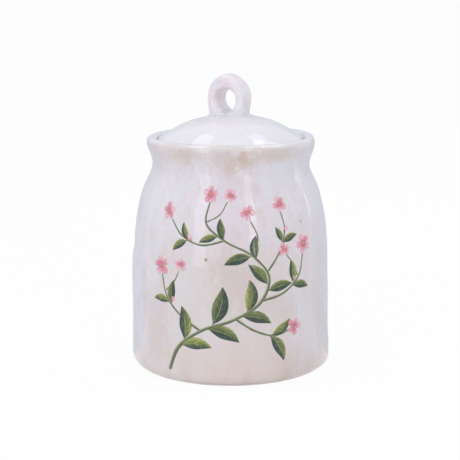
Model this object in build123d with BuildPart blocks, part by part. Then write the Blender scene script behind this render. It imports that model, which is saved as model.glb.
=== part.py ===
import os
from math import atan2, cos, sin, sqrt

from build123d import *

# A glazed earthenware storage jar with a domed lid, a loop handle and a seal ring.
# Millimetres. The jar stands on z = 0 with its axis on z, and its front faces -y.

# Outer wall of the jar, from the foot up. Drops are measured down from the rim.
rim_height = 151.5
base_radius = 65.3
base_corner = 8.5  # rounding from the wall under to the foot
waist_radius = 64.7
waist_height = 34.0
belly_radius = 64.9
belly_height = 54.0
upper_radius = 62.7
upper_drop = 61.5
shoulder_radius = 56.3
shoulder_drop = 31.5
neck_radius = 51.4
neck_drop = 17.5

# Jar walls, floor and foot ring
wall = 6.0
neck_wall = 6.9
floor_thickness = 5.5
floor_corner = 12.0
foot_width = 7.0
foot_recess = 2.5
recess_run = 2.0  # how far the recess wall leans in

# Mouth: a flared lip with a ledge inside it that carries the lid
ledge_width = 3.2
ledge_depth = 6.5
lip_thickness = 7.0

# Lid
lid_clearance = 0.9  # round the lid's edge, inside the lip
lid_edge = 5.0  # from the ledge up to where the dome starts
lid_edge_round = 1.2
lid_crown = 16.0
lid_wall = 5.5
flange_clearance = 2.2  # from the flange to the neck's bore
flange_depth = 14.0
flange_wall = 5.2
flange_round = 1.2
groove_depth = 1.8
groove_height = 6.4
groove_lift = 3.4  # from the flange's lower edge up to the groove

# Seal ring, a soft ring with fins that sits in the lid's groove
seal_play = 0.1  # between the seal and the groove
seal_clearance = 0.3  # between the fins and the neck's bore
fin_count = 3
fin_tip = 0.5
fin_root = 1.5

# Loop handle
handle_turn = -30.0  # about the jar's axis, as the lid sits at rest
hole_radius = 7.5
hole_gap = 0.4  # from the top of the dome up to the hole
side_wall = 6.2
top_wall = 10.4
loop_rise = 1.9  # from the hole's centre up to where the loop is widest
crown_ease = 2.9  # how much tighter the loop's top curves than half its width
leg_lean = 2.6  # how far each leg bends inwards, down to the dome's mid height
strap_depth = 14.4
outer_round = 3.4
inner_round = 2.2

# Sizes that follow
bore_radius = neck_radius - neck_wall
mouth_radius = bore_radius + ledge_width
lip_radius = mouth_radius + lip_thickness
lip_round = lip_thickness / 2
lip_side_height = rim_height - lip_round
ledge_height = rim_height - ledge_depth
neck_height = rim_height - neck_drop
shoulder_height = rim_height - shoulder_drop
upper_height = rim_height - upper_drop
foot_outer = base_radius - base_corner
foot_inner = foot_outer - foot_width
floor_height = foot_recess + floor_thickness
corner_height = floor_height + floor_corner
corner_share = (corner_height - base_corner) / (waist_height - base_corner)
inside_radius = base_radius + (waist_radius - base_radius) * corner_share - wall

lid_radius = mouth_radius - lid_clearance
dome_foot = ledge_height + lid_edge
dome_top = dome_foot + lid_crown
dome_radius = (lid_radius**2 + lid_crown**2) / (2 * lid_crown)
dome_centre = dome_top - dome_radius
flange_outer = bore_radius - flange_clearance
flange_inner = flange_outer - flange_wall
flange_bottom = ledge_height - flange_depth
groove_bottom = flange_bottom + groove_lift
groove_top = groove_bottom + groove_height
groove_radius = flange_outer - groove_depth
hollow_radius = dome_radius - lid_wall
hollow_top = dome_top - lid_wall
hollow_foot = dome_centre + sqrt(hollow_radius**2 - flange_inner**2)

seal_bottom = groove_bottom + seal_play
seal_top = groove_top - seal_play
seal_inner = groove_radius + seal_play
fin_radius = bore_radius - seal_clearance
fin_pitch = (seal_top - seal_bottom) / fin_count

hole_height = dome_top + hole_gap + hole_radius
loop_width = hole_radius + side_wall
loop_height = hole_radius + top_wall - loop_rise
crown_radius = loop_width - crown_ease
crown_offset = loop_height - crown_radius
side_radius = (loop_width**2 + crown_offset**2 - crown_radius**2) / (2 * crown_ease)
bend_x = crown_radius * (side_radius - loop_width) / (side_radius - crown_radius)
bend_y = loop_rise + crown_offset * side_radius / (side_radius - crown_radius)
half_bend = atan2(bend_y - loop_rise, bend_x + side_radius - loop_width) / 2
side_x = loop_width - side_radius + side_radius * cos(half_bend)
side_y = loop_rise + side_radius * sin(half_bend)
leg_bottom = dome_top - lid_crown / 2 - hole_height
leg_foot = loop_width - leg_lean


os.makedirs("parts", exist_ok=True)

# Jar: one turned section, with a foot ring below and a ledge inside the lip
with BuildPart() as jar_body:
    with BuildSketch(Plane.XZ):
        with BuildLine():
            Polyline(
                (0, floor_height),
                (0, foot_recess),
                (foot_inner - recess_run, foot_recess),
                (foot_inner, 0),
                (foot_outer, 0),
            )
            TangentArc((foot_outer, 0), (base_radius, base_corner), tangent=(1, 0))
            Spline(
                (base_radius, base_corner),
                (waist_radius, waist_height),
                (belly_radius, belly_height),
                (upper_radius, upper_height),
                (shoulder_radius, shoulder_height),
                (neck_radius, neck_height),
                (lip_radius, lip_side_height),
                tangents=((0, 1), (0, 1)),
            )
            ThreePointArc(
                (lip_radius, lip_side_height),
                (mouth_radius + lip_round, rim_height),
                (mouth_radius, lip_side_height),
            )
            Polyline(
                (mouth_radius, lip_side_height),
                (mouth_radius, ledge_height),
                (bore_radius, ledge_height),
                (bore_radius, neck_height),
            )
            Spline(
                (bore_radius, neck_height),
                (shoulder_radius - wall, shoulder_height),
                (upper_radius - wall, upper_height),
                (belly_radius - wall, belly_height),
                (waist_radius - wall, waist_height),
                (inside_radius, corner_height),
                tangents=((0, -1), (0, -1)),
            )
            TangentArc(
                (inside_radius, corner_height),
                (inside_radius - floor_corner, floor_height),
                tangent=(0, -1),
            )
            Line((inside_radius - floor_corner, floor_height), (0, floor_height))
        make_face()
    revolve(axis=Axis.Z)

# Lid: a hollow dome whose edge rests on the ledge, with a grooved flange that
# reaches down into the neck
with BuildPart() as lid:
    with BuildSketch(Plane.XZ) as lid_section:
        with BuildLine():
            TangentArc((0, dome_top), (lid_radius, dome_foot), tangent=(1, 0))
            Polyline(
                (lid_radius, dome_foot),
                (lid_radius, ledge_height),
                (flange_outer, ledge_height),
                (flange_outer, groove_top),
                (groove_radius, groove_top),
                (groove_radius, groove_bottom),
                (flange_outer, groove_bottom),
                (flange_outer, flange_bottom),
                (flange_inner, flange_bottom),
                (flange_inner, hollow_foot),
            )
            TangentArc((0, hollow_top), (flange_inner, hollow_foot), tangent=(1, 0))
            Line((0, hollow_top), (0, dome_top))
        make_face()
        dome_corner = lid_section.vertices().sort_by(Axis.X)[-2:].sort_by(Axis.Y)[-1]
        fillet(dome_corner, lid_edge_round)
        flange_corners = lid_section.vertices().group_by(Axis.Y)[0]
        fillet(flange_corners, min(flange_round, 0.4 * flange_wall))
    revolve(axis=Axis.Z)

# Seal: a soft ring in the groove, with fins that face the neck's bore
with BuildPart() as lid_seal:
    with BuildSketch(Plane.XZ):
        with BuildLine():
            Polyline(
                (flange_outer, seal_bottom),
                (seal_inner, seal_bottom),
                (seal_inner, seal_top),
                (flange_outer, seal_top),
            )
            for fin in range(fin_count):
                fin_middle = seal_bottom + fin_pitch * (fin + 0.5)
                Polyline(
                    (flange_outer, fin_middle - fin_pitch / 2),
                    (flange_outer, fin_middle - fin_root / 2),
                    (fin_radius, fin_middle - fin_tip / 2),
                    (fin_radius, fin_middle + fin_tip / 2),
                    (flange_outer, fin_middle + fin_root / 2),
                    (flange_outer, fin_middle + fin_pitch / 2),
                )
        make_face()
    revolve(axis=Axis.Z)

# Handle: a strap bent to an arch, formed by itself and joined to the top of the dome
handle_plane = Plane(
    origin=(0, 0, hole_height),
    x_dir=Vector(1, 0, 0).rotate(Axis.Z, handle_turn),
    z_dir=Vector(0, -1, 0).rotate(Axis.Z, handle_turn),
)
with BuildPart() as lid_handle:
    with BuildSketch(handle_plane.offset(-strap_depth / 2)):
        with BuildLine():
            ThreePointArc((-bend_x, bend_y), (0, loop_rise + loop_height), (bend_x, bend_y))
            ThreePointArc((bend_x, bend_y), (side_x, side_y), (loop_width, loop_rise))
            TangentArc((loop_width, loop_rise), (leg_foot, leg_bottom), tangent=(0, -1))
            Line((leg_foot, leg_bottom), (-leg_foot, leg_bottom))
            TangentArc((-loop_width, loop_rise), (-leg_foot, leg_bottom), tangent=(0, -1))
            ThreePointArc((-loop_width, loop_rise), (-side_x, side_y), (-bend_x, bend_y))
        make_face()
        Circle(hole_radius, mode=Mode.SUBTRACT)
    extrude(amount=strap_depth)
    end_edges = lid_handle.faces().filter_by(Axis((0, 0, 0), handle_plane.z_dir)).edges()
    hole_edges = end_edges.filter_by(lambda edge: edge.is_closed)
    outer_edges = end_edges.filter_by(lambda edge: not edge.is_closed).sort_by(Axis.Z)[2:]
    fillet(outer_edges, min(outer_round, 0.56 * side_wall))
    fillet(hole_edges, min(inner_round, 0.38 * side_wall))
    with BuildSketch(Plane.XZ):
        with BuildLine():
            TangentArc((0, dome_top), (lid_radius, dome_foot), tangent=(1, 0))
            Polyline((lid_radius, dome_foot), (0, dome_foot), (0, dome_top))
        make_face()
    revolve(axis=Axis.Z, mode=Mode.SUBTRACT)

jar_body.part.label = "jar_body"
lid.part.label = "lid"
lid_seal.part.label = "lid_seal"
lid_handle.part.label = "lid_handle"
export_step(jar_body.part, "parts/jar_body.step")
export_step(lid.part, "parts/lid.step")
export_step(lid_seal.part, "parts/lid_seal.step")
export_step(lid_handle.part, "parts/lid_handle.step")
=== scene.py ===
import math
import random

import bmesh
import bpy
import numpy as np
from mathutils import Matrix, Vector, noise


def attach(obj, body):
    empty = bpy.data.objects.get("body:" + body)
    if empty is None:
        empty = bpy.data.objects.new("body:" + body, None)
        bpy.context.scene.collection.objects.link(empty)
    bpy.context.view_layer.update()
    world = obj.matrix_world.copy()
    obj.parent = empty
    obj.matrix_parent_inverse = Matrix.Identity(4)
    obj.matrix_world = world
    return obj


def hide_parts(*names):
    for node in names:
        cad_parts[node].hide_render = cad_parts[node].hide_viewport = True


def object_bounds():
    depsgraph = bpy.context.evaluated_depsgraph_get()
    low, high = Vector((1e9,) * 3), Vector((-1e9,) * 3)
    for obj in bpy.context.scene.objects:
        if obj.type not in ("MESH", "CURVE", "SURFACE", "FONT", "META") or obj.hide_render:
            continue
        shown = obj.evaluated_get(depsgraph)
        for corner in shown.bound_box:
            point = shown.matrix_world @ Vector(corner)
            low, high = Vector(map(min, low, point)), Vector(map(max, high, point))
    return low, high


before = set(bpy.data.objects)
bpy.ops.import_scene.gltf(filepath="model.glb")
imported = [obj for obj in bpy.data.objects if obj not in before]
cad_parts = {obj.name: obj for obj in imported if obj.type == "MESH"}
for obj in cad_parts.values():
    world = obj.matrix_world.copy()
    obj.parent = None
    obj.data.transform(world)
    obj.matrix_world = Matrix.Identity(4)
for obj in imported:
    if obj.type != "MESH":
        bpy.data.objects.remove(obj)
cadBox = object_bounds()
mm = 0.001
print("frame:", ", ".join(sorted(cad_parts)))


def tint(red, green, blue):  # a colour as it is read on a screen, 0 to 255
    return tuple(((c / 255 + 0.055) / 1.055) ** 2.4 for c in (red, green, blue)) + (1.0,)


class Wire:
    # a node's output; the operators add Math nodes
    def __init__(self, shader, socket):
        self.shader = shader
        self.socket = socket

    def __add__(self, other):
        return self.shader.math("ADD", self, other)

    def __radd__(self, other):
        return self.shader.math("ADD", other, self)

    def __sub__(self, other):
        return self.shader.math("SUBTRACT", self, other)

    def __rsub__(self, other):
        return self.shader.math("SUBTRACT", other, self)

    def __mul__(self, other):
        return self.shader.math("MULTIPLY", self, other)

    def __rmul__(self, other):
        return self.shader.math("MULTIPLY", other, self)

    def __abs__(self):
        return self.shader.math("ABSOLUTE", self)


class Shader:
    # the node tree of a material or of the world
    def __init__(self, owner):
        owner.use_nodes = True
        self.tree = owner.node_tree
        self.tree.nodes.clear()

    def node(self, kind, settings=None, sockets=None, out=0):
        made = self.tree.nodes.new(kind)
        for key, value in (settings or {}).items():
            setattr(made, key, value)
        for key, value in (sockets or {}).items():
            if isinstance(value, Wire):
                self.tree.links.new(value.socket, made.inputs[key])
            else:
                made.inputs[key].default_value = value
        return Wire(self, made.outputs[out]) if len(made.outputs) else None

    def math(self, operation, *inputs):
        return self.node("ShaderNodeMath", {"operation": operation}, dict(enumerate(inputs)))

    def vector(self, operation, *inputs, out=0):
        return self.node("ShaderNodeVectorMath", {"operation": operation}, dict(enumerate(inputs)), out)

    def place(self):
        return self.node("ShaderNodeTexCoord", out="Object")

    def stretch(self, vector, by):
        return self.vector("MULTIPLY", vector, by)

    def part(self, vector, axis):
        return self.node("ShaderNodeSeparateXYZ", None, {0: vector}, axis)

    def joined(self, x, y, z):
        return self.node("ShaderNodeCombineXYZ", None, {0: x, 1: y, 2: z})

    def attribute(self, name):
        return self.node("ShaderNodeAttribute", {"attribute_name": name}, None, "Fac")

    def noise(self, vector, scale, detail=3, rough=0.55, twist=0.0):
        grain = {"Scale": scale, "Detail": detail, "Roughness": rough, "Distortion": twist}
        return self.node("ShaderNodeTexNoise", None, {"Vector": vector, **grain})

    def ease(self, value, low, high):
        sockets = {0: value, 1: low, 2: high, 3: 0.0, 4: 1.0}
        return self.node("ShaderNodeMapRange", {"interpolation_type": "SMOOTHSTEP"}, sockets)

    def mix(self, share, first, second):
        return self.node("ShaderNodeMix", {"data_type": "RGBA"}, {0: share, 6: first, 7: second}, 2)

    def bump(self, height, strength, depth):
        return self.node("ShaderNodeBump", None, {"Strength": strength, "Distance": depth, "Height": height})

    def surface(self, sockets):
        made = self.node("ShaderNodeBsdfPrincipled", None, sockets)
        self.node("ShaderNodeOutputMaterial", None, {"Surface": made})


# glaze: pale lilac white, mottled with rose and tan under brushed streaks
glazeLook = {
    "cool": tint(231, 228, 233),
    "warm": tint(234, 225, 230),
    "rose": tint(231, 213, 221),
    "tan": tint(222, 210, 204),
    "peach": tint(216, 199, 192),
    "sand": tint(228, 209, 200),
    "ochre": tint(206, 180, 160),
    "light": tint(245, 241, 245),
    "speck": tint(168, 142, 116),
    "clay": tint(170, 138, 116),
    "patchScale": 28,
    "mottleScale": 180,
    "gritScale": 340,
    "brushScale": 90,
    "hairScale": 420,
    "spotScale": 46,
    "lip": 148.8 * mm,  # the rim's crest: painted highlights lie above it, and smears from under it stop here
    "lipEdge": 0.9 * mm,
    "washEdge": 12 * mm,  # over which a wash on the front fades to the sides
    "through": (1.0, 0.85, 0.8),  # how far each colour of light goes into the clay
    "throughScale": 6 * mm,
    "relief": 0.6 * mm,
}


# the blotches, brush marks and grain that the glaze's colour, shine and relief come from
def glazeGrain(s):
    look = glazeLook
    at = s.place()
    drawn = s.stretch(at, (1, 1, 0.45))
    return {
        "at": at,
        "drawn": drawn,
        "height": s.part(at, "Z"),
        "patches": s.noise(drawn, look["patchScale"], 3, 0.55, 0.5),
        "mottle": s.noise(drawn, look["mottleScale"], 4, 0.62, 0.4),
        "blush": s.noise(s.stretch(at, (-1, -1, -0.55)), look["mottleScale"] * 0.7, 4, 0.6, 0.6),
        "brushed": s.noise(s.stretch(at, (1, 1, 0.12)), look["brushScale"], 4, 0.55),
        "hair": s.noise(s.stretch(at, (1, 1, 0.06)), look["hairScale"], 3, 0.6),
        "grit": s.noise(s.stretch(at, (1, 1, 0.7)), look["gritScale"], 3, 0.6, 0.5),
    }


def glazeGround(s, grain, stain):
    look = glazeLook
    patches, mottle, hair = grain["patches"], grain["mottle"], grain["hair"]
    stroke = grain["brushed"] * 0.35 + patches * 0.25 + mottle * 0.3 + hair * 0.1
    colour = s.mix(s.ease(stroke, 0.42, 0.58), look["cool"], look["warm"])
    rosy = s.ease(grain["blush"] * 0.8 + hair * 0.2, 0.46, 0.66)
    colour = s.mix(rosy * (0.6 * stain), colour, look["rose"])
    stained = s.ease(mottle * 0.5 + patches * 0.5, 0.49, 0.64)
    colour = s.mix(stained * (0.62 * stain), colour, look["tan"])
    pale = s.ease(grain["grit"] * 0.6 + hair * 0.4, 0.5, 0.64)
    colour = s.mix(pale * 0.3, colour, look["light"])
    return s.mix(0.7 * (1 - stain), colour, look["light"])


# a wash between two heights, ragged at both edges and thin in places; its measures are in mm
def washOver(s, grain, colour, wash):
    low, high, soft = wash["low"] * mm, wash["high"] * mm, wash["soft"] * mm
    crisp = wash.get("crisp", wash["soft"]) * mm
    height, mottle = grain["height"], grain["mottle"] - 0.5
    ragged = height + (grain["brushed"] - 0.5) * (soft * 2) + mottle * (soft * 1.5)
    band = s.ease(ragged, low - soft, low + soft)
    band = band * s.ease(height + mottle * (crisp * 2), high + crisp, high - crisp)
    cover = s.noise(grain["drawn"], wash["scale"], 2, 0.5, 0.5)
    band = band * s.ease(cover, wash["thin"], wash["thin"] + 0.26) * wash["strength"]
    if "front" in wash:
        front, edge = wash["front"] * mm, glazeLook["washEdge"]
        band = band * s.ease(s.part(grain["at"], "Y"), front + edge, front - edge)
    return s.mix(band, colour, glazeLook[wash["paint"]])


# a smear round a place on the wall, as ragged as the grain; only the painted highlights lie above the lip
def smearOrPaintedLightOver(s, grain, colour, middle, wide, tall, strength, paint):
    away = s.vector("SUBTRACT", grain["at"], Vector(middle) * mm)
    away = s.stretch(away, (1 / (wide * mm), 1 / (wide * mm), 1 / (tall * mm)))
    far = s.vector("LENGTH", away, out="Value")
    far = far + (grain["mottle"] - 0.5) * 1.6 + (grain["brushed"] - 0.5) * 1.2 + (grain["grit"] - 0.5) * 1.4
    cover = s.ease(far, 1.15, 0.25) * strength
    if middle[2] * mm < glazeLook["lip"]:
        cover = cover * grain["underLip"]
    return s.mix(cover, colour, glazeLook[paint])


# colour, roughness and height of the glaze at a place on a piece
def glazeCoat(s, washes=(), smearsAndPaintedLight=(), foot=0.0, stain=1.0):
    look = glazeLook
    grain = glazeGrain(s)
    brushed, mottle, hair = grain["brushed"], grain["mottle"], grain["hair"]
    colour = glazeGround(s, grain, stain)
    for wash in washes:
        colour = washOver(s, grain, colour, wash)
    if smearsAndPaintedLight:
        lip, edge = look["lip"], look["lipEdge"]
        grain["underLip"] = s.ease(grain["height"] + (mottle - 0.5) * (2 * mm), lip + edge, lip - edge)
    for smearOrPaintedLight in smearsAndPaintedLight:
        colour = smearOrPaintedLightOver(s, grain, colour, *smearOrPaintedLight)
    spots = {"Vector": grain["at"], "Scale": look["spotScale"]}
    near = s.node("ShaderNodeTexVoronoi", None, spots)
    few = s.ease(s.part(s.node("ShaderNodeTexVoronoi", None, spots, "Color"), "X"), 0.86, 0.9)
    colour = s.mix(s.ease(near, 0.045, 0.02) * few * 0.5, colour, look["speck"])
    shine = 0.3 + brushed * 0.16 + hair * 0.06
    if foot:  # wiped bare where the jar stands
        bare = s.ease(grain["height"] + (brushed - 0.5) * foot, foot * 1.3, foot * 0.7)
        colour = s.mix(bare, colour, look["clay"])
        shine = shine + bare * 0.3
    relief = grain["patches"] * 1.2 + brushed * 0.5 + mottle * 0.3 + hair * 0.05
    gloss = 0.6 + s.ease(grain["grit"] * 0.4 + brushed * 0.3 + hair * 0.3, 0.4, 0.56) * 0.4
    return {"at": grain["at"], "colour": colour, "shine": shine, "relief": relief, "gloss": gloss}


def fired(s, coat, colour, haze=0.05, through=0.0):
    s.surface({
        "Base Color": colour,
        "Roughness": coat["shine"],
        "Specular IOR Level": 0.15,
        "Coat Weight": coat["gloss"],
        "Coat Roughness": haze,
        "Subsurface Weight": through,
        "Subsurface Radius": glazeLook["through"],
        "Subsurface Scale": glazeLook["throughScale"],
        "Normal": s.bump(coat["relief"], 0.3, glazeLook["relief"]),
    })


def plainGlaze(name, washes, smearsAndPaintedLight=(), foot=0.0, stain=1.0, haze=0.05):
    material = bpy.data.materials.new(name)
    s = Shader(material)
    coat = glazeCoat(s, washes, smearsAndPaintedLight, foot, stain)
    fired(s, coat, coat["colour"], haze)
    return material


def ramp(value, start, end):  # 0 at the start, 1 at the end
    return min(1.0, max(0.0, (value - start) / (end - start)))


def eased(value, start, end):  # a ramp with soft ends
    t = ramp(value, start, end)
    return t * t * (3 - 2 * t)


# half section of a turned CAD node, cut just off the seam so that no vertex lies in the plane
def sectionOf(node):
    turn = 0.0008
    cut = bmesh.new()
    cut.from_mesh(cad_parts[node].data)
    bmesh.ops.remove_doubles(cut, verts=cut.verts, dist=1e-6)
    made = bmesh.ops.bisect_plane(
        cut, geom=cut.verts[:] + cut.edges[:] + cut.faces[:], dist=1e-9,
        plane_co=(0, 0, 0), plane_no=(math.sin(turn), math.cos(turn), 0))
    near = {}
    for edge in made["geom_cut"]:
        if isinstance(edge, bmesh.types.BMEdge) and max(v.co.x for v in edge.verts) > 0:
            first, second = edge.verts
            near.setdefault(first, []).append(second)
            near.setdefault(second, []).append(first)
    ends = [v for v in near if len(near[v]) == 1]
    start = min(ends or near, key=lambda v: v.co.z)
    walk = [start]
    seen = {start}
    while True:
        ahead = [v for v in near[walk[-1]] if v not in seen]
        if not ahead:
            break
        walk.append(ahead[0])
        seen.add(ahead[0])
    points = np.array([(max(v.co.x, 0.0), max(v.co.z, 0.0)) for v in walk])
    cut.free()
    keep = np.append(True, np.hypot(*np.diff(points, axis=0).T) > 0.02 * mm)
    return points[keep], not ends


def turnAngles(points):
    step = np.diff(points, axis=0)
    heading = np.unwrap(np.arctan2(step[:, 1], step[:, 0]))
    return np.abs(np.diff(heading))


# smooth stretch through the points, evenly spaced
def smoothRun(points, spacing):
    gaps = np.hypot(*np.diff(points, axis=0).T)
    along = np.append(0, np.cumsum(gaps))
    count = max(2, int(math.ceil(along[-1] / spacing)) + 1)
    if len(points) == 2:
        return points[0] + np.linspace(0, 1, count)[:, None] * (points[1] - points[0])
    slopes = np.diff(points, axis=0) / gaps[:, None]
    lead = gaps[1:, None] / (gaps[1:, None] + gaps[:-1, None])
    tangents = np.vstack([slopes[:1], slopes[:-1] * lead + slopes[1:] * (1 - lead), slopes[-1:]])
    at = np.linspace(0, along[-1], count)
    i = np.clip(np.searchsorted(along, at, side="right") - 1, 0, len(gaps) - 1)
    t = ((at - along[i]) / gaps[i])[:, None]
    g = gaps[i][:, None]
    return ((2 * t**3 - 3 * t**2 + 1) * points[i] + (t**3 - 2 * t**2 + t) * g * tangents[i]
            + (3 * t**2 - 2 * t**3) * points[i + 1] + (t**3 - t**2) * g * tangents[i + 1])


def apart(a, b):
    return np.hypot(*(b - a))


# section with its hard corners eased, as glaze eases them
def easedSection(node, spacing, ease):
    points, closed = sectionOf(node)
    if closed:
        points = np.vstack([points, points[:1]])
    sharp = math.radians(34)
    hard = [i + 1 for i, a in enumerate(turnAngles(points)) if a > sharp]
    stops = [0] + hard + [len(points) - 1]
    runs = [smoothRun(points[a:b + 1], spacing) for a, b in zip(stops, stops[1:])]
    out = [runs[0]]
    for run in runs[1:] + ([runs[0]] if closed else []):
        before, corner = out[-1], run[0]
        reach = min(ease, 0.45 * apart(before[0], before[-1]), 0.45 * apart(run[0], run[-1]))
        a = corner + (before[-2] - corner) / apart(corner, before[-2]) * reach
        b = corner + (run[1] - corner) / apart(corner, run[1]) * reach
        out[-1] = np.vstack([p for p in before if apart(corner, p) > reach * 1.05] or [before[0]])
        bend = [(1 - t) ** 2 * a + 2 * t * (1 - t) * corner + t * t * b for t in (0, 0.25, 0.5, 0.75, 1)]
        rest = [p for p in run if apart(corner, p) > reach * 1.05]
        out.append(np.array(bend + rest))
    if closed:
        out = out[1:-1] + [np.array(bend)]
    return np.maximum(np.vstack(out), 0), closed


def newPiece(name, points, faces, material, body, node=None):
    mesh = bpy.data.meshes.new(name)
    mesh.from_pydata([tuple(p) for p in points], [], faces)
    mesh.update()
    mesh.polygons.foreach_set("use_smooth", [True] * len(mesh.polygons))
    mesh.materials.append(material)
    piece = bpy.data.objects.new(name, mesh)
    bpy.context.scene.collection.objects.link(piece)
    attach(piece, body)
    if node:
        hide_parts(node)
    return piece


# values on a piece's points, for its material to read
def pointValues(piece, values):
    for key, row in values.items():
        piece.data.attributes.new(key, "FLOAT", "POINT").data.foreach_set("value", row)


def even(x, y, z):
    return 0.0


# spin a section round the axis, each point pushed out by uneven(x, y, z) and up by raised(x, y, z)
def turned(section, closed, segments, uneven=even, raised=even):
    poles = [] if closed else [section[0], section[-1]]
    rings = section if closed else section[1:-1]
    angles = np.arange(segments) * 2 * math.pi / segments
    points = []
    for r, z in rings:
        for a in angles:
            x, y = math.sin(a), -math.cos(a)
            out = r + uneven(x * r, y * r, z)
            points.append((x * out, y * out, z + raised(x * r, y * r, z)))
    faces = []
    count = len(rings)
    for i in range(count if closed else count - 1):
        low, high = i * segments, (i + 1) % count * segments
        for j in range(segments):
            k = (j + 1) % segments
            faces.append((low + j, low + k, high + k, high + j))
    for pole, ring in zip(poles, (0, count - 1)):
        points.append((0, 0, pole[1]))
        for j in range(segments):
            side = (ring * segments + j, ring * segments + (j + 1) % segments)
            faces.append((len(points) - 1,) + (side[::-1] if ring == 0 else side))
    return points, faces


jarMade = {
    "spacing": 1.6 * mm,
    "ease": 0.7 * mm,
    "segments": 240,
    "reach": 65.26 * mm,  # the uneven wall stays inside the CAD box
    "reachSoft": 0.3 * mm,
    "uneven": 0.4 * mm,
    "lump": 18,
    "dents": 0.12 * mm,
    "dentLump": 55,
    "ripple": 0.035 * mm,
    "rippleLump": 120,
    "mouth": 47.7 * mm,  # above trueFrom, the mouth and the bore are trued
    "trueFrom": 125 * mm,
    "trueRun": 5 * mm,
    "trueLeast": 0.15,
    # swells: turn from the front, height, spread of both, amount
    "swells": (
        (-90, 141, 30, 5, -0.9), (-90, 134, 30, 4, -0.5), (-90, 72, 40, 16, 0.4), (-90, 81, 30, 5, -0.5),
        (90, 8, 35, 7, 1.6), (92, 62, 30, 12, -0.7), (92, 108, 30, 7, -0.5),
    ),
    "rimTurn": math.radians(110),
    "rimSpread": 0.7,
    "rimRise": 0.8 * mm,
    "rimFrom": 145.5 * mm,
    "rimFull": 150.5 * mm,
    "rimRun": 3 * mm,
    "washes": (
        dict(low=140, high=148.8, soft=5, crisp=0.8, scale=24, thin=0.24, strength=0.3, paint="peach"),
        dict(low=130, high=148.5, soft=7, crisp=1, scale=36, thin=0.46, strength=0.4, paint="tan"),
        dict(low=148.5, high=154, soft=1, scale=30, thin=0.1, strength=0.6, paint="tan", front=-38),
        dict(low=45, high=100, soft=20, scale=40, thin=0.5, strength=0.4, paint="tan"),
        dict(low=22, high=94, soft=16, scale=26, thin=0.14, strength=0.6, paint="tan", front=-51),
        dict(low=-50, high=22, soft=16, scale=30, thin=0.05, strength=0.4, paint="sand"),
        dict(low=-50, high=30, soft=16, scale=50, thin=0.2, strength=0.55, paint="sand", front=-40),
        dict(low=-50, high=14, soft=10, scale=70, thin=0.42, strength=0.35, paint="ochre", front=-30),
        dict(low=-50, high=2.4, soft=1.2, scale=90, thin=0.2, strength=0.45, paint="clay"),
    ),
    # smears of glaze colour, painted shade and painted highlights: place on the wall, half width and half
    # height in mm, strength, paint
    "smearsAndPaintedLight": (
        ((-30, -43, 145.5), 16, 7, 0.75, "peach"),
        ((2, -52, 143), 20, 9, 0.75, "peach"),
        ((25, -45, 145.5), 18, 6, 0.75, "peach"),
        ((5.5, -53, 144.5), 7, 6, 0.6, "ochre"),
        ((1, -52, 137), 5, 8, 0.4, "ochre"),
        ((-2, -58, 105), 34, 30, 0.5, "rose"),
        ((6, -64, 68), 24, 30, 0.7, "peach"),
        ((-47, -44, 36), 14, 27, 0.5, "peach"),
        ((29, -58, 50), 13, 16, 0.4, "peach"),
        ((36, -53, 14), 18, 13, 0.35, "peach"),
        # partly tan glaze, partly painted shade that darkens the right side of the belly
        ((56, -32, 65), 22, 50, 0.25, "tan"),
        ((50, -41, 30), 20, 24, 0.55, "cool"),
        ((-36, -53, 7), 22, 14, 0.3, "cool"),
        # painted shade: peach and ochre in the gap between the lid's ends and the mouth
        ((44, 6, 147.5), 8.5, 6, 0.8, "ochre"),
        ((-44, 8, 147.5), 9.5, 6, 0.7, "peach"),
        # painted highlights: two thin pale lines on the rim's front and a pale gleam on the neck at the
        # right
        ((23.5, -46, 151.2), 22, 1.5, 0.5, "light"),
        ((-17.5, -48.5, 150.8), 9, 2, 0.5, "light"),
        ((42.8, -31.8, 128.8), 3.2, 8.5, 0.75, "light"),
        ((-15.5, -61.7, 82), 1.6, 1.6, 0.9, "speck"),
        ((43.4, -42.2, 102.8), 1.6, 1.6, 0.45, "speck"),
    ),
    "foot": 0.9 * mm,
}


# hand-made unevenness of the wall, outwards
def jarUneven(x, y, z):
    made = jarMade
    lump, dent = made["lump"], made["dentLump"]
    wave = noise.noise(Vector((x * lump, y * lump, z * lump * 0.8))) * made["uneven"]
    wave += noise.noise(Vector((x * dent, y * dent, z * dent * 0.35))) * made["dents"]
    wave += noise.noise(Vector((x, y, z * 0.5)) * made["rippleLump"]) * made["ripple"]
    turn = math.degrees(math.atan2(x, -y))
    for side, height, wide, tall, amount in made["swells"]:
        wave += amount * mm * math.exp(-((turn - side) / wide) ** 2 - ((z / mm - height) / tall) ** 2)
    r = math.hypot(x, y)
    if z > made["trueFrom"]:
        wave *= max(made["trueLeast"], ramp(r, made["mouth"], made["mouth"] + made["trueRun"]))
    soft = made["reachSoft"]
    over = r + wave - made["reach"] + soft
    return wave - over + soft * (1 - math.exp(-over / soft)) if over > 0 else wave


# the rim stands a little higher on one side
def jarRaised(x, y, z):
    made = jarMade
    turn = math.atan2(x, -y) - made["rimTurn"]
    turn = (turn + math.pi) % (2 * math.pi) - math.pi
    lip = ramp(z, made["rimFrom"], made["rimFull"])
    lip *= ramp(math.hypot(x, y), made["mouth"], made["mouth"] + made["rimRun"])
    return made["rimRise"] * lip * math.exp(-(turn / made["rimSpread"]) ** 2)


jarSection, jarClosed = easedSection("jar_body", jarMade["spacing"], jarMade["ease"])
jarGlaze = plainGlaze("jar_glaze", jarMade["washes"], jarMade["smearsAndPaintedLight"], jarMade["foot"])
jarPoints, jarFaces = turned(jarSection, jarClosed, jarMade["segments"], jarUneven, jarRaised)
newPiece("glazed_jar", jarPoints, jarFaces, jarGlaze, "jar", "jar_body")
crest = int(np.argmax(jarSection[:, 1]))
outerFoot = max(i for i in range(crest) if jarSection[i, 1] < 0.05 * mm)
outerWall = jarSection[outerFoot:crest + 1]
print("jar:", len(jarPoints), "points")

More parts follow.
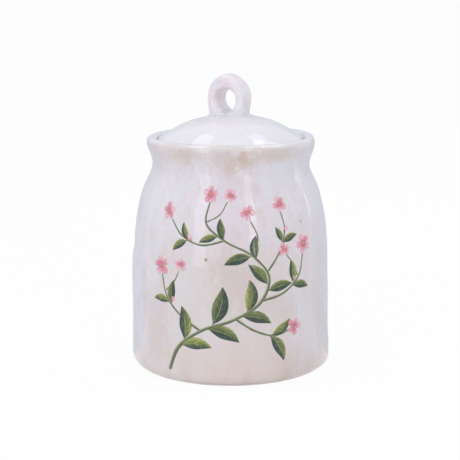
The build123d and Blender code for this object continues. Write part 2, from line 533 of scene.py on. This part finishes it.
lidMade = {
    "spacing": 1.5 * mm,
    "ease": 0.6 * mm,
    "segments": 192,
    "inset": 0.1 * mm,
    "brim": 0.45 * mm,  # the glaze is thick on the edge, so the gap in the mouth is thin
    "brimFrom": 44.5 * mm,
    "brimFull": 46.5 * mm,
    "uneven": 0.12 * mm,
    "lump": 24,
    "ripple": 0.08 * mm,
    "rippleLump": 100,
    "tilt": 0.008,  # the dome leans up towards the right
    "domeFrom": 149.5 * mm,
    "domeFull": 152.5 * mm,
    "pressLeft": 0.9 * mm,  # pressed down beside the handle when it was joined on
    "pressRight": 0.5 * mm,
    "pressIn": (13 * mm, 18 * mm),  # out from the axis, where it starts and is full
    "pressOut": (27 * mm, 19 * mm),  # and where it ends
    "stain": 0.65,
    "haze": 0.04,
    "washes": (
        dict(low=140, high=150.5, soft=1, scale=30, thin=0.3, strength=0.4, paint="peach"),
        # painted shade: this cool wash dims the lower dome all round
        dict(low=140, high=157, soft=3, scale=25, thin=0.05, strength=0.7, paint="cool"),
    ),
}


def lidUneven(x, y, z):
    made = lidMade
    lump = made["lump"]
    thick = ramp(math.hypot(x, y), made["brimFrom"], made["brimFull"]) * made["brim"]
    return noise.noise(Vector((x * lump, y * lump, z * lump))) * made["uneven"] - made["inset"] + thick


def lidRaised(x, y, z):
    made = lidMade
    ripple = noise.noise(Vector((x, y, z)) * made["rippleLump"]) * made["ripple"]
    r = max(math.hypot(x, y), mm)
    pressed = eased(r, *made["pressIn"]) * eased(r, *made["pressOut"]) * (x / r) ** 2
    pressed *= made["pressLeft"] if x < 0 else made["pressRight"]
    return (made["tilt"] * x + ripple - pressed) * ramp(z, made["domeFrom"], made["domeFull"])


lidSection, lidClosed = easedSection("lid", lidMade["spacing"], lidMade["ease"])
lidPoints, lidFaces = turned(lidSection, lidClosed, lidMade["segments"], lidUneven, lidRaised)
lidGlaze = plainGlaze("lid_glaze", lidMade["washes"], stain=lidMade["stain"], haze=lidMade["haze"])
newPiece("glazed_lid", lidPoints, lidFaces, lidGlaze, "lid", "lid")
domeRun = lidSection[int(np.argmax(lidSection[:, 0])):][::-1]
print("lid:", len(lidPoints), "points")

# loop handle: the CAD strap with a skirt of clay smoothed round its foot
handleMade = {
    "turn": math.radians(-30),
    "holeHeight": 173.9 * mm,
    "holeRadius": 7.5 * mm,
    "footLong": 12.2 * mm,  # half sizes of the strap where it meets the dome
    "footShort": 6.4 * mm,
    "skirt": 2.4 * mm,
    "skirtIn": 2.5 * mm,  # how far it reaches into the strap
    "skirtOut": 1.25,  # and over the dome, in its own widths
    "inSlope": 1.4,  # down inside the strap
    "outSlope": 0.3,  # down into the dome
    "skirtSteps": 12,
    "skirtAround": 96,
    "clear": 5 * mm,  # the skirt starts this far each side of the hole
    "clearRun": 4 * mm,
    "square": 4.0,
    "sink": 1.6 * mm,
    "voxel": 0.34 * mm,
    "smooths": 60,
    "swell": 0.3 * mm,  # what the smoothing takes off
    "ridge": 0.07 * mm,  # drawn along the strap by the fingers
    "ridgePitch": 2.6 * mm,
    "uneven": 0.22 * mm,
    "lump": 85,
    "beads": 0.3 * mm,  # glaze gathered in the crease at the foot
    "beadLump": 330,
    "crease": 3 * mm,
    "shift": Vector((0.02 * mm, 0, 0)),
    "lean": Vector((-1.3 * mm, 0, 0)),  # at the top of the loop
    "tuck": Vector((-1.6 * mm, 0, 0)),  # at the foot of the right leg
    "tuckSide": (2 * mm, 11 * mm),  # along the strap, where it starts and is full
    "tuckBelow": 0.65,  # this and the next two are shares of the loop's height
    "pinchFrom": 0.3,
    "dropFrom": 0.6,
    "holeMove": Vector((0.6 * mm, 0, 1.0 * mm)),
    "holeEdge": 5 * mm,  # round the hole, what moves with it
    "crownPinch": 0.06,
    "crownDrop": 0.7 * mm,
    "headroom": 0.05 * mm,  # left under the top of the CAD box
    "stain": 0.3,
    "through": 0.5,
    "crownRose": (181 * mm, 189 * mm),
    "poolAndLightDeep": 1.6 * mm,  # pale glaze gathered in the hole, partly painted light
    "poolAndLightFoot": 4 * mm,
    "lipMouth": (2 * mm, -4 * mm),  # through the hole, from the back to the front
    "lipMiddle": 0.2 * mm,  # out from the hole
    "lipWide": 1.1 * mm,
    "streakWide": 2.6 * mm,
    "streakOut": 2.2 * mm,
}
handleAlong = Vector((math.cos(handleMade["turn"]), math.sin(handleMade["turn"]), 0))
handleAcross = Vector((-handleAlong.y, handleAlong.x, 0))


def domeHeight(r):
    return float(np.interp(r, domeRun[:, 0], domeRun[:, 1]))


def handleSkirt():
    made = handleMade
    steps, around = made["skirtSteps"], made["skirtAround"]
    skirt, inner = made["skirt"], made["skirtIn"]
    spread = skirt * made["skirtOut"]
    points, faces = [], []
    for under in (False, True):
        for i in range(steps + 1):
            out = -inner + (spread + inner) * i / steps
            rise = skirt - math.sqrt(max(0.0, skirt**2 - (skirt - max(out, 0.0))**2))
            if out > skirt:
                rise = (skirt - out) * made["outSlope"]
            if out < 0:
                rise += out * made["inSlope"]
            for j in range(around):
                a = j * 2 * math.pi / around
                c, s = math.cos(a), math.sin(a)
                u = math.copysign(abs(c) ** (2 / made["square"]), c) * (made["footLong"] + out)
                v = math.copysign(abs(s) ** (2 / made["square"]), s) * (made["footShort"] + out)
                x = u * math.cos(made["turn"]) - v * math.sin(made["turn"])
                y = u * math.sin(made["turn"]) + v * math.cos(made["turn"])
                beside = ramp(abs(u), made["clear"], made["clear"] + made["clearRun"])
                top = rise * beside if rise > 0 else rise
                z = domeHeight(math.hypot(u, v)) + (-made["sink"] if under else top)
                points.append((x, y, z))
    rows = steps + 1
    for side in (0, 1):
        base = side * rows * around
        for i in range(steps):
            low, high = base + i * around, base + (i + 1) * around
            for j in range(around):
                k = (j + 1) % around
                quad = (low + j, high + j, high + k, low + k)
                faces.append(quad[::-1] if side else quad)
        hole = tuple(base + j for j in range(around))
        faces.append(hole[::-1] if side else hole)
    rim, low = steps * around, (rows + steps) * around
    for j in range(around):
        k = (j + 1) % around
        faces.append((rim + j, low + j, low + k, rim + k))
    return points, faces


# fine ridges on the outside of the strap
def handleRidge(point, normal):
    made = handleMade
    outward = handleAlong * point.dot(handleAlong) + Vector((0, 0, point.z - made["holeHeight"]))
    facing = max(0.0, normal.dot(outward.normalized()))
    wander = noise.noise(point * 60) * 1.5
    phase = point.dot(handleAcross) / made["ridgePitch"] * 2 * math.pi
    return made["ridge"] * facing * math.sin(phase + wander)


# what the hand did to the strap: leant it, tucked one leg in, drew the hole up and rounded the crown
def handBent(point, top):
    made = handleMade
    u = point.dot(handleAlong)
    rise = max(0.0, (point.z - domeHeight(0)) / (top - domeHeight(0)))
    ring = math.hypot(u, point.z - made["holeHeight"]) - made["holeRadius"]
    low = eased(rise, made["tuckBelow"], 0) * eased(u, *made["tuckSide"])
    bent = point + made["shift"] + made["lean"] * rise + made["tuck"] * low
    bent -= handleAlong * u * made["crownPinch"] * eased(rise, made["pinchFrom"], 1)
    bent += made["holeMove"] * eased(ring, made["holeEdge"], 0)
    bent.z = min(bent.z - made["crownDrop"] * eased(rise, made["dropFrom"], 1), top - made["headroom"])
    return bent


def aboveDome(point):
    return point.z - domeHeight(math.hypot(point.x, point.y))


def softened(name, points, faces):
    made = handleMade
    blank = bpy.data.meshes.new(name + "_blank")
    blank.from_pydata(points, [], faces)
    both = bmesh.new()
    both.from_mesh(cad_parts["lid_handle"].data)
    bmesh.ops.remove_doubles(both, verts=both.verts, dist=1e-6)
    both.from_mesh(blank)
    both.to_mesh(blank)
    both.free()
    form = bpy.data.objects.new(name + "_form", blank)
    bpy.context.scene.collection.objects.link(form)
    join = form.modifiers.new("join", "REMESH")
    join.mode = "VOXEL"
    join.voxel_size = made["voxel"]
    soft = form.modifiers.new("soft", "SMOOTH")
    soft.factor = 0.5
    soft.iterations = made["smooths"]
    bpy.context.view_layer.update()
    shaped = bpy.data.meshes.new_from_object(form.evaluated_get(bpy.context.evaluated_depsgraph_get()))
    top = cadBox[1].z
    verts = []
    for v in shaped.vertices:
        swell = made["swell"] + noise.noise(v.co * made["lump"]) * made["uneven"]
        swell += handleRidge(v.co, v.normal)
        crease = eased(aboveDome(v.co), made["crease"], 0)
        swell += noise.noise(v.co * made["beadLump"]) * made["beads"] * crease
        verts.append(handBent(v.co + v.normal * swell, top))
    loops = [tuple(p.vertices) for p in shaped.polygons]
    bpy.data.objects.remove(form)
    bpy.data.meshes.remove(blank)
    bpy.data.meshes.remove(shaped)
    return verts, loops


def handleGlaze():
    made, look = handleMade, glazeLook
    material = bpy.data.materials.new("handle_glaze")
    s = Shader(material)
    coat = glazeCoat(s, stain=made["stain"])
    strap = s.joined(s.attribute("round"), s.attribute("deep"), s.attribute("out"))
    drawn = s.noise(strap, 1.0, 4, 0.6, 0.3)
    colour = s.mix(s.ease(drawn, 0.5, 0.64) * 0.7, coat["colour"], look["rose"])
    colour = s.mix(s.ease(drawn, 0.44, 0.3) * 0.7, colour, look["light"])
    crown = s.ease(s.part(coat["at"], "Z") + (drawn - 0.5) * (10 * mm), *made["crownRose"])
    colour = s.mix(crown * 0.5, colour, look["rose"])
    thin = s.noise(strap, 2.3, 3, 0.6)
    colour = s.mix(s.ease(thin, 0.56, 0.66) * 0.35, colour, look["peach"])
    # pooled pale glaze, partly painted light lifting the shade of the hole and the crease
    colour = s.mix(s.attribute("poolAndLight"), colour, look["light"])
    broken = s.attribute("lip") * s.ease(thin * 0.7 + drawn * 0.3, 0.42, 0.6)
    fired(s, coat, s.mix(broken * 0.6, colour, look["ochre"]), through=made["through"])
    return material


def holeRing(point):
    made = handleMade
    at = point - made["shift"] - made["holeMove"]
    return math.hypot(at.dot(handleAlong), at.z - made["holeHeight"]) - made["holeRadius"]


# how far the pale glaze gathers, inside the hole and in the crease at the foot; its whiteness is partly
# painted light that lifts the shade there
def poolAndLightAt(point):
    inside = ramp(holeRing(point), handleMade["poolAndLightDeep"], 0)
    return max(inside, 0.35 * max(0.0, 1 - aboveDome(point) / handleMade["poolAndLightFoot"]))


# the glaze breaks to the clay's colour in the mouth of the hole, most on the left
def lipAt(point):
    made = handleMade
    left = min(1.0, max(0.1, 0.45 - point.x / (9 * mm)))
    mouth = eased(point.dot(handleAcross), *made["lipMouth"])
    return left * mouth * math.exp(-((holeRing(point) - made["lipMiddle"]) / made["lipWide"]) ** 2)


# the strap's own measures, in a streak's lengths and widths: round the hole, through it, and out from it
def roundAt(point):
    u = point.dot(handleAlong)
    return math.atan2(point.z - handleMade["holeHeight"], abs(u)) * 0.9 + (9 if u > 0 else 0)


def deepAt(point):
    return point.dot(handleAcross) / handleMade["streakWide"]


def outAt(point):
    return holeRing(point) / handleMade["streakOut"]


handlePoints, handleFaces = softened("loop_handle", *handleSkirt())
handle = newPiece("loop_handle", handlePoints, handleFaces, handleGlaze(), "lid", "lid_handle")
handleValues = {"poolAndLight": poolAndLightAt, "lip": lipAt, "round": roundAt, "deep": deepAt, "out": outAt}
pointValues(handle, {key: [found(p) for p in handlePoints] for key, found in handleValues.items()})
print("handle:", len(handlePoints), "points")

sealMade = {
    "spacing": 0.5 * mm,
    "ease": 0.12 * mm,
    "segments": 160,
    "colour": tint(226, 222, 214),
    "worn": tint(206, 200, 190),
    "grainScale": 900,
    "dustScale": 60,
}


def sealRubber():
    material = bpy.data.materials.new("seal_rubber")
    s = Shader(material)
    at = s.place()
    grain = s.noise(at, sealMade["grainScale"], 4, 0.6)
    dust = s.noise(at, sealMade["dustScale"], 3, 0.5)
    colour = s.mix(s.ease(dust, 0.4, 0.7) * 0.6, sealMade["colour"], sealMade["worn"])
    s.surface({
        "Base Color": colour,
        "Roughness": 0.42 + grain * 0.2,
        "Subsurface Weight": 0.15,
        "Subsurface Radius": (2 * mm, 1.6 * mm, 1.2 * mm),
        "Subsurface Scale": 1.0,
        "Normal": s.bump(grain, 0.2, 0.1 * mm),
    })
    return material


sealSection, sealClosed = easedSection("lid_seal", sealMade["spacing"], sealMade["ease"])
sealPoints, sealFaces = turned(sealSection, sealClosed, sealMade["segments"])
newPiece("seal_ring", sealPoints, sealFaces, sealRubber(), "seal", "lid_seal")
print("seal:", len(sealPoints), "points")

# painted vine on the front: brush marks laid on the wall, thick in the middle and thin at the edges
vineMade = {
    "flat": 63 * mm,  # radius at which the wall is unrolled
    "seat": 0.06 * mm,
    "seed": 11,
    "stemHeight": 0.2 * mm,  # how far the paint stands up from its seat
    "leafHeight": 0.26 * mm,
    "petalHeight": 0.3 * mm,
    "heartHeight": 0.42 * mm,
    "budHeight": 0.28 * mm,
    "fullWidth": 0.9 * mm,  # half width from which a stroke has all its height
    "leafTurn": (42, 58),  # degrees from the stem
    "leafBend": (0.06, 0.12),
    "leafWide": 0.2,  # half widths, in lengths
    "petalWide": 0.36,
    "heartWide": 0.16,
    "budWide": 0.3,
    # stems: half width at the start and end, then points along the wall and up, in mm
    "stems": (
        (1.5, 0.7, ((-40, 9), (-34, 24), (-18, 37), (3, 45), (19, 56),
                    (24, 70), (14, 84), (-4, 94), (-16, 105), (-14, 118))),
        (1.0, 0.6, ((-19, 37), (-31, 45), (-42, 57), (-46, 71))),
        (1.1, 0.6, ((19, 56), (34, 60), (46, 70), (50, 84))),
        (0.9, 0.55, ((23, 74), (32, 87), (36, 100), (34, 111))),
        (0.9, 0.55, ((-4, 94), (-19, 91), (-32, 96), (-41, 106))),
        (1.0, 0.6, ((3, 45), (15, 37), (28, 33), (40, 36))),
        (0.8, 0.5, ((14, 84), (17, 96), (12, 107))),
        (0.6, 0.45, ((-43, 60), (-37, 66), (-33, 74))),
        (0.6, 0.45, ((45, 69), (41, 78), (36, 84))),
        (0.6, 0.45, ((-16, 105), (-7, 110), (-2, 118))),
    ),
    # pairs of leaves: stem, place along it, length
    "pairs": (
        (0, 0.13, 23), (0, 0.26, 26), (0, 0.4, 23), (0, 0.54, 20), (0, 0.68, 18), (0, 0.83, 14),
        (1, 0.55, 15), (2, 0.5, 16), (3, 0.5, 13), (4, 0.55, 14), (5, 0.6, 19),
    ),
    # blossoms: middle and petal length
    "blossoms": (
        ((-47, 76), 6.6), ((-32, 78), 4.6), ((51, 89), 6.4), ((35, 87), 4.6), ((34, 115), 5.6),
        ((-44, 110), 5.6), ((11, 111), 5.0), ((-14, 122), 5.6), ((0, 121), 4.4), ((42, 37), 5.8),
    ),
    # buds: foot, heading, length
    "buds": (
        ((-25, 93), 128, 5.0), ((42, 66), 96, 4.6), ((35, 98), 38, 5.0),
        ((-38, 53), 78, 4.8), ((30, 84), 12, 4.4),
    ),
    "leafLight": tint(172, 174, 90),
    "leafMid": tint(100, 116, 68),
    "leafDark": tint(44, 64, 56),
    "leafPaintedSheen": tint(146, 160, 156),
    "leafRim": tint(206, 208, 172),
    "stemLight": tint(176, 180, 130),
    "stemDark": tint(80, 98, 68),
    "petalPale": tint(243, 196, 205),
    "petalRose": tint(226, 134, 156),
    "petalDeep": tint(196, 78, 106),
    "heart": tint(196, 170, 104),
}


def wallPoint(along, up, lift):
    r = float(np.interp(up, outerWall[:, 1], outerWall[:, 0]))
    x, y = math.sin(along / vineMade["flat"]), -math.cos(along / vineMade["flat"])
    out = min(r + jarUneven(x * r, y * r, up) + lift, jarMade["reach"])
    return (x * out, y * out, up)


def newSheet():
    return {"points": [], "faces": [], "along": [], "across": [], "tone": []}


# one stroke: a closed lens along a line on the unrolled wall, with its upper side at across = 1
def brushMark(sheet, line, widths, raised, tone, columns):
    line = np.asarray(line)
    step = np.gradient(line, axis=0)
    side = np.column_stack([-step[:, 1], step[:, 0]]) / np.hypot(*step.T)[:, None]
    if side[:, 1].mean() < 0:
        side = -side
    ring = [(v, True) for v in np.linspace(-1, 1, columns)]
    ring += [(v, False) for v in np.linspace(1, -1, columns)[1:-1]]
    first = len(sheet["points"])
    count = len(line)

    def put(at, v, lift, t):
        sheet["points"].append(wallPoint(at[0], at[1], lift))
        sheet["along"].append(t)
        sheet["across"].append(v)
        sheet["tone"].append(tone)

    put(line[0], 0, 0, 0)
    for i in range(1, count - 1):
        thin = min(1.0, widths[i] / vineMade["fullWidth"])
        for v, top in ring:
            lift = raised * thin * math.sqrt(max(0.0, 1 - v * v)) if top else -1.5 * vineMade["seat"]
            put(line[i] + side[i] * widths[i] * v, v, lift - vineMade["seat"], i / (count - 1))
    put(line[-1], 0, 0, 1)
    last = len(sheet["points"]) - 1
    size = len(ring)
    for j in range(size):
        k = (j + 1) % size
        sheet["faces"].append((first, first + 1 + k, first + 1 + j))
        for i in range(count - 3):
            low, high = first + 1 + i * size, first + 1 + (i + 1) * size
            sheet["faces"].append((low + j, low + k, high + k, high + j))
        tip = first + 1 + (count - 3) * size
        sheet["faces"].append((last, tip + j, tip + k))


# painted over the glaze, fading into it where the brush ran thin
def paintedGlaze(name, colouring, grain=2.0):
    material = bpy.data.materials.new(name)
    s = Shader(material)
    coat = glazeCoat(s, jarMade["washes"], jarMade["smearsAndPaintedLight"])
    along, across, tone = s.attribute("along"), s.attribute("across"), s.attribute("tone")
    hairs = s.noise(s.joined(along * grain, across * 5.0, tone * 40), 1.6, 4, 0.6)
    colour, cover = colouring(s, along, across, tone, hairs)
    fired(s, coat, s.mix(cover, coat["colour"], colour))
    return material


def leafPaint(s, along, across, tone, hairs):
    made = vineMade
    ragged = across + (hairs - 0.5) * 0.3
    slant = (along - abs(across) * 0.22) * 16.0
    veins = s.noise(s.joined(slant, across * 0.8, tone * 60), 1.3, 4, 0.65)
    lit = across * 0.5 + 0.42 + (veins - 0.5) * 1.3 + (hairs - 0.5) * 0.8 + (tone - 0.5) * 0.4
    colour = s.mix(s.ease(lit, 0.2, 0.66), made["leafDark"], made["leafMid"])
    colour = s.mix(s.ease(lit, 0.62, 1.02), colour, made["leafLight"])
    rib = s.ease(abs(ragged + 0.04), 0.1, 0.02) * s.ease(along, 0.95, 0.5)
    colour = s.mix(rib * 0.6, colour, made["leafLight"])
    # painted reflection: a bluish sheen on the dark side of each leaf
    paintedSheen = s.ease(veins, 0.56, 0.68) * s.ease(across, 0.2, -0.4)
    colour = s.mix(paintedSheen * 0.45, colour, made["leafPaintedSheen"])
    rim = s.ease(abs(across) + (hairs - 0.5) * 0.2, 0.84, 0.95) * s.ease(veins, 0.42, 0.56)
    colour = s.mix(rim * 0.6, colour, made["leafRim"])
    return colour, s.ease(abs(ragged), 1.02, 0.86)


def stemPaint(s, along, across, tone, hairs):
    made = vineMade
    side = across + (hairs - 0.5) * 2.2
    colour = s.mix(s.ease(side, -0.1, 0.9), made["stemDark"], made["stemLight"])
    colour = s.mix(s.ease(hairs, 0.54, 0.68) * 0.6, colour, made["leafMid"])
    cover = s.ease(abs(across) + (hairs - 0.5) * 0.6, 1.0, 0.7)
    return colour, cover * (0.75 + s.ease(hairs, 0.3, 0.5) * 0.25)


def petalPaint(s, along, across, tone, hairs):
    made = vineMade
    rosy = s.ease(along + (hairs - 0.5) * 1.8 + (tone - 0.5) * 0.6, 1.0, 0.25)
    colour = s.mix(rosy, made["petalPale"], made["petalRose"])
    colour = s.mix(s.ease(along + (hairs - 0.5) * 0.8, 0.45, 0.12), colour, made["petalDeep"])
    edge = s.ease(abs(across) + (hairs - 0.5) * 0.9, 0.55, 0.9)
    colour = s.mix(edge * 0.7, colour, made["petalRose"])
    colour = s.mix(edge * s.ease(hairs, 0.5, 0.62) * 0.6, colour, made["petalDeep"])
    colour = s.mix(s.ease(tone, 1.5, 1.6), colour, made["heart"])
    cover = s.ease(abs(across) + (hairs - 0.5) * 0.4, 1.0, 0.76)
    return colour, cover * (0.8 + s.ease(hairs, 0.35, 0.55) * 0.2)


# line from a foot at a heading, bent sideways by a share of its length
def bentLine(foot, heading, length, bend, count):
    t = np.linspace(0, 1, count)[:, None]
    ahead = np.array([math.cos(heading), math.sin(heading)])
    left = np.array([-ahead[1], ahead[0]])
    drift = 4 * bend * t * (1 - t)
    return np.array(foot) * mm + ahead * t * length * mm + left * drift * length * mm


def paintStems(rand):
    sheet = newSheet()
    for start, end, points in vineMade["stems"]:
        line = smoothRun(np.array(points) * mm, 1.2 * mm)
        t = np.linspace(0, 1, len(line))
        wobble = 1 + 0.16 * np.sin(t * 23 + rand.uniform(0, 6)) * np.sin(t * 9 + rand.uniform(0, 6))
        widths = (start + (end - start) * t) * wobble * mm
        brushMark(sheet, line, widths, vineMade["stemHeight"], rand.random(), 7)
    return sheet


def paintLeaves(rand):
    made = vineMade
    sheet = newSheet()
    for stem, place, length in made["pairs"]:
        line = smoothRun(np.array(made["stems"][stem][2]) * mm, 0.5 * mm)
        for side in (1, -1):
            i = int((place + side * 0.012) * (len(line) - 1))
            ahead = line[i + 3] - line[i - 3]
            heading = math.atan2(ahead[1], ahead[0]) + side * math.radians(rand.uniform(*made["leafTurn"]))
            long = length * rand.uniform(0.85, 1.1)
            leaf = bentLine(line[i] / mm, heading, long, -side * rand.uniform(*made["leafBend"]), 25)
            t = np.linspace(0, 1, len(leaf))
            shape = np.sin(math.pi * np.clip((t - 0.1) / 0.9, 0, 1) ** 0.85) ** 0.9
            widths = np.maximum(shape * long * made["leafWide"], 0.4 * (1 - t)) * mm
            brushMark(sheet, leaf, widths, made["leafHeight"], rand.random(), 11)
    return sheet


def paintBlossoms(rand):
    made = vineMade
    sheet = newSheet()
    for middle, length in made["blossoms"]:
        turn = rand.uniform(0, 72)
        for petal in range(5):
            heading = math.radians(turn + petal * 72 + rand.uniform(-8, 8))
            reach = length * rand.uniform(0.88, 1.08)
            line = bentLine(middle, heading, reach, rand.uniform(-0.05, 0.05), 13)
            t = np.linspace(0, 1, len(line))
            widths = np.sin(math.pi * t ** 1.5) ** 0.6 * reach * made["petalWide"] * mm
            brushMark(sheet, line, widths, made["petalHeight"], rand.random(), 9)
        half = made["heartWide"] * length
        line = bentLine((middle[0] - half, middle[1]), 0, 2 * half, 0, 9)
        widths = np.sin(math.pi * np.linspace(0, 1, len(line))) ** 0.5 * half * mm
        brushMark(sheet, line, widths, made["heartHeight"], 2.0, 7)
    for foot, heading, length in made["buds"]:
        line = bentLine(foot, math.radians(heading), length, 0.05, 13)
        t = np.linspace(0, 1, len(line))
        widths = np.sin(math.pi * t ** 1.2) ** 0.8 * length * made["budWide"] * mm
        brushMark(sheet, line, widths, made["budHeight"], rand.random(), 7)
    return sheet


def paintOn(name, sheet, material):
    piece = newPiece(name, sheet["points"], sheet["faces"], material, "jar")
    whole = bmesh.new()
    whole.from_mesh(piece.data)
    bmesh.ops.recalc_face_normals(whole, faces=whole.faces)
    whole.to_mesh(piece.data)
    whole.free()
    pointValues(piece, {key: sheet[key] for key in ("along", "across", "tone")})


vineRandom = random.Random(vineMade["seed"])
paintOn("painted_stems", paintStems(vineRandom), paintedGlaze("stem_paint", stemPaint, 16.0))
paintOn("painted_leaves", paintLeaves(vineRandom), paintedGlaze("leaf_paint", leafPaint))
paintOn("painted_blossoms", paintBlossoms(vineRandom), paintedGlaze("blossom_paint", petalPaint))
print("painting:", 2 * len(vineMade["pairs"]), "leaves,", len(vineMade["blossoms"]), "blossoms")

studio = {
    "target": Vector((-0.00045, 0, 0.0888)),
    "distance": 0.931,
    "elevation": math.radians(11.02),
    "focalPixels": 1413,
    "framePixels": 460,
    "floorReach": 12,
    "floor": tint(246, 246, 246),
    "floorGrain": tint(236, 236, 236),
    "floorGlow": 0.95,
    "skyLeft": (0.645, 0.69, 0.745, 1.0),
    "skyRight": (0.48, 0.495, 0.535, 1.0),
    # the card's rows: out from the axis, up, how much taller behind the handle, and the turn it starts at
    "card": {
        "rows": ((0.068, 0.001, 0, 98), (0.3, 0.001, 0, 98), (0.3, 0.22, 0.3, 125)),
        "columns": 33,
        "colour": tint(210, 218, 226),
    },
    "aim": Vector((0, 0, 0.12)),
    # azimuth from the camera, elevation, distance, width, height, strength, colour
    "lamps": {
        "left_window": (-37, 16, 1.2, 0.32, 1.0, 2.0, (1.0, 0.99, 0.98)),
        "right_window": (25.5, 17, 1.2, 0.22, 0.98, 2.7, (1.0, 0.99, 0.98)),
        "side_strip": (112, 9, 1.2, 0.07, 0.36, 2.2, (0.9, 0.94, 1.0)),
        "high_right": (112, 60, 1.2, 0.5, 0.42, 2.3, (1.0, 1.0, 1.0)),
        "high_left": (-102, 65, 1.2, 0.38, 0.4, 2.2, (1.0, 1.0, 1.0)),
        "top_panel": (0, 88, 1.1, 1.0, 0.7, 0.75, (1.0, 1.0, 1.0)),
        "rear_left": (-143, 61, 1.2, 0.21, 0.26, 1.65, (1.0, 0.98, 0.95)),
        "rear_right": (145, 62, 1.2, 0.21, 0.24, 1.3, (1.0, 1.0, 1.0)),
    },
}


def addCamera():
    data = bpy.data.cameras.new("camera")
    data.sensor_width = 36
    data.lens = data.sensor_width * studio["focalPixels"] / studio["framePixels"]
    camera = bpy.data.objects.new("camera", data)
    up = studio["elevation"]
    back = Vector((0, -math.cos(up), math.sin(up)))
    camera.location = studio["target"] + back * studio["distance"]
    camera.rotation_mode = "QUATERNION"
    camera.rotation_quaternion = (-back).to_track_quat("-Z", "Y")
    bpy.context.scene.collection.objects.link(camera)
    bpy.context.scene.camera = camera


# 1 for rays that show the background: from the camera, a gloss or glass
def shownRay(s):
    camera = s.node("ShaderNodeLightPath", out="Is Camera Ray")
    gloss = s.node("ShaderNodeLightPath", out="Is Glossy Ray")
    glass = s.node("ShaderNodeLightPath", out="Is Transmission Ray")
    return s.math("MAXIMUM", camera, s.math("MAXIMUM", gloss, glass))


def addFloor():
    material = bpy.data.materials.new("floor_paper")
    s = Shader(material)
    grain = s.noise(s.place(), 3, 3, 0.5)
    white = s.mix(grain * 0.06, studio["floor"], studio["floorGrain"])
    paper = s.node("ShaderNodeBsdfDiffuse", None, {"Color": white, "Roughness": 0.6})
    glow = s.node("ShaderNodeEmission", None, {"Color": (1, 1, 1, 1), "Strength": 1.0})
    made = s.node("ShaderNodeMixShader", None, {0: shownRay(s) * studio["floorGlow"], 1: paper, 2: glow})
    s.node("ShaderNodeOutputMaterial", None, {"Surface": made})
    disc = bmesh.new()
    bmesh.ops.create_circle(disc, cap_ends=True, segments=96, radius=studio["floorReach"])
    mesh = bpy.data.meshes.new("floor")
    disc.to_mesh(mesh)
    disc.free()
    mesh.materials.append(material)
    floor = bpy.data.objects.new("floor", mesh)
    bpy.context.scene.collection.objects.link(floor)


# a pale blue card curved round the back, seen only in the glaze: it draws the edges of the white jar
def addCard():
    made = studio["card"]
    material = bpy.data.materials.new("card_paper")
    s = Shader(material)
    glow = s.node("ShaderNodeEmission", None, {"Color": made["colour"], "Strength": 1.0})
    s.node("ShaderNodeOutputMaterial", None, {"Surface": glow})
    wide = made["columns"]
    points = []
    for r, z, peak, start in made["rows"]:
        for a in np.radians(np.linspace(start, 360 - start, wide)):
            up = z + peak * max(0.0, -math.cos(3 * a))
            points.append((math.sin(a) * r, -math.cos(a) * r, up))
    corners = [row * wide + i for row in range(len(made["rows"]) - 1) for i in range(wide - 1)]
    faces = [(i, i + 1, i + wide + 1, i + wide) for i in corners]
    mesh = bpy.data.meshes.new("card")
    mesh.from_pydata(points, [], faces)
    mesh.materials.append(material)
    card = bpy.data.objects.new("card", mesh)
    bpy.context.scene.collection.objects.link(card)
    card.visible_camera = card.visible_diffuse = card.visible_shadow = False


def addSky():
    world = bpy.data.worlds.new("soft_sky")
    s = Shader(world)
    across = s.part(s.node("ShaderNodeTexCoord", out="Generated"), "X")
    soft = s.mix(s.ease(across, -1, 1), studio["skyLeft"], studio["skyRight"])
    light = s.node("ShaderNodeBackground", None, {"Color": soft, "Strength": 1.0})
    white = s.node("ShaderNodeBackground", None, {"Color": (1, 1, 1, 1), "Strength": 1.0})
    made = s.node("ShaderNodeMixShader", None, {0: shownRay(s), 1: light, 2: white})
    s.node("ShaderNodeOutputWorld", None, {"Surface": made})
    bpy.context.scene.world = world


def addLamps():
    for name, (azimuth, elevation, away, width, tall, strength, colour) in studio["lamps"].items():
        side, up = math.radians(azimuth), math.radians(elevation)
        out = Vector((math.sin(side) * math.cos(up), -math.cos(side) * math.cos(up), math.sin(up)))
        data = bpy.data.lights.new(name, "AREA")
        data.shape = "RECTANGLE"
        data.size = width
        data.size_y = tall
        data.energy = strength * math.pi * width * tall
        data.color = colour
        lamp = bpy.data.objects.new(name, data)
        lamp.location = studio["aim"] + out * away
        lamp.rotation_mode = "QUATERNION"
        lamp.rotation_quaternion = (-out).to_track_quat("-Z", "Y")
        lamp.visible_camera = False
        bpy.context.scene.collection.objects.link(lamp)


addCamera()
addFloor()
addCard()
addSky()
addLamps()
bpy.context.scene.view_settings.view_transform = "Standard"
print("studio:", len(studio["lamps"]), "lamps")
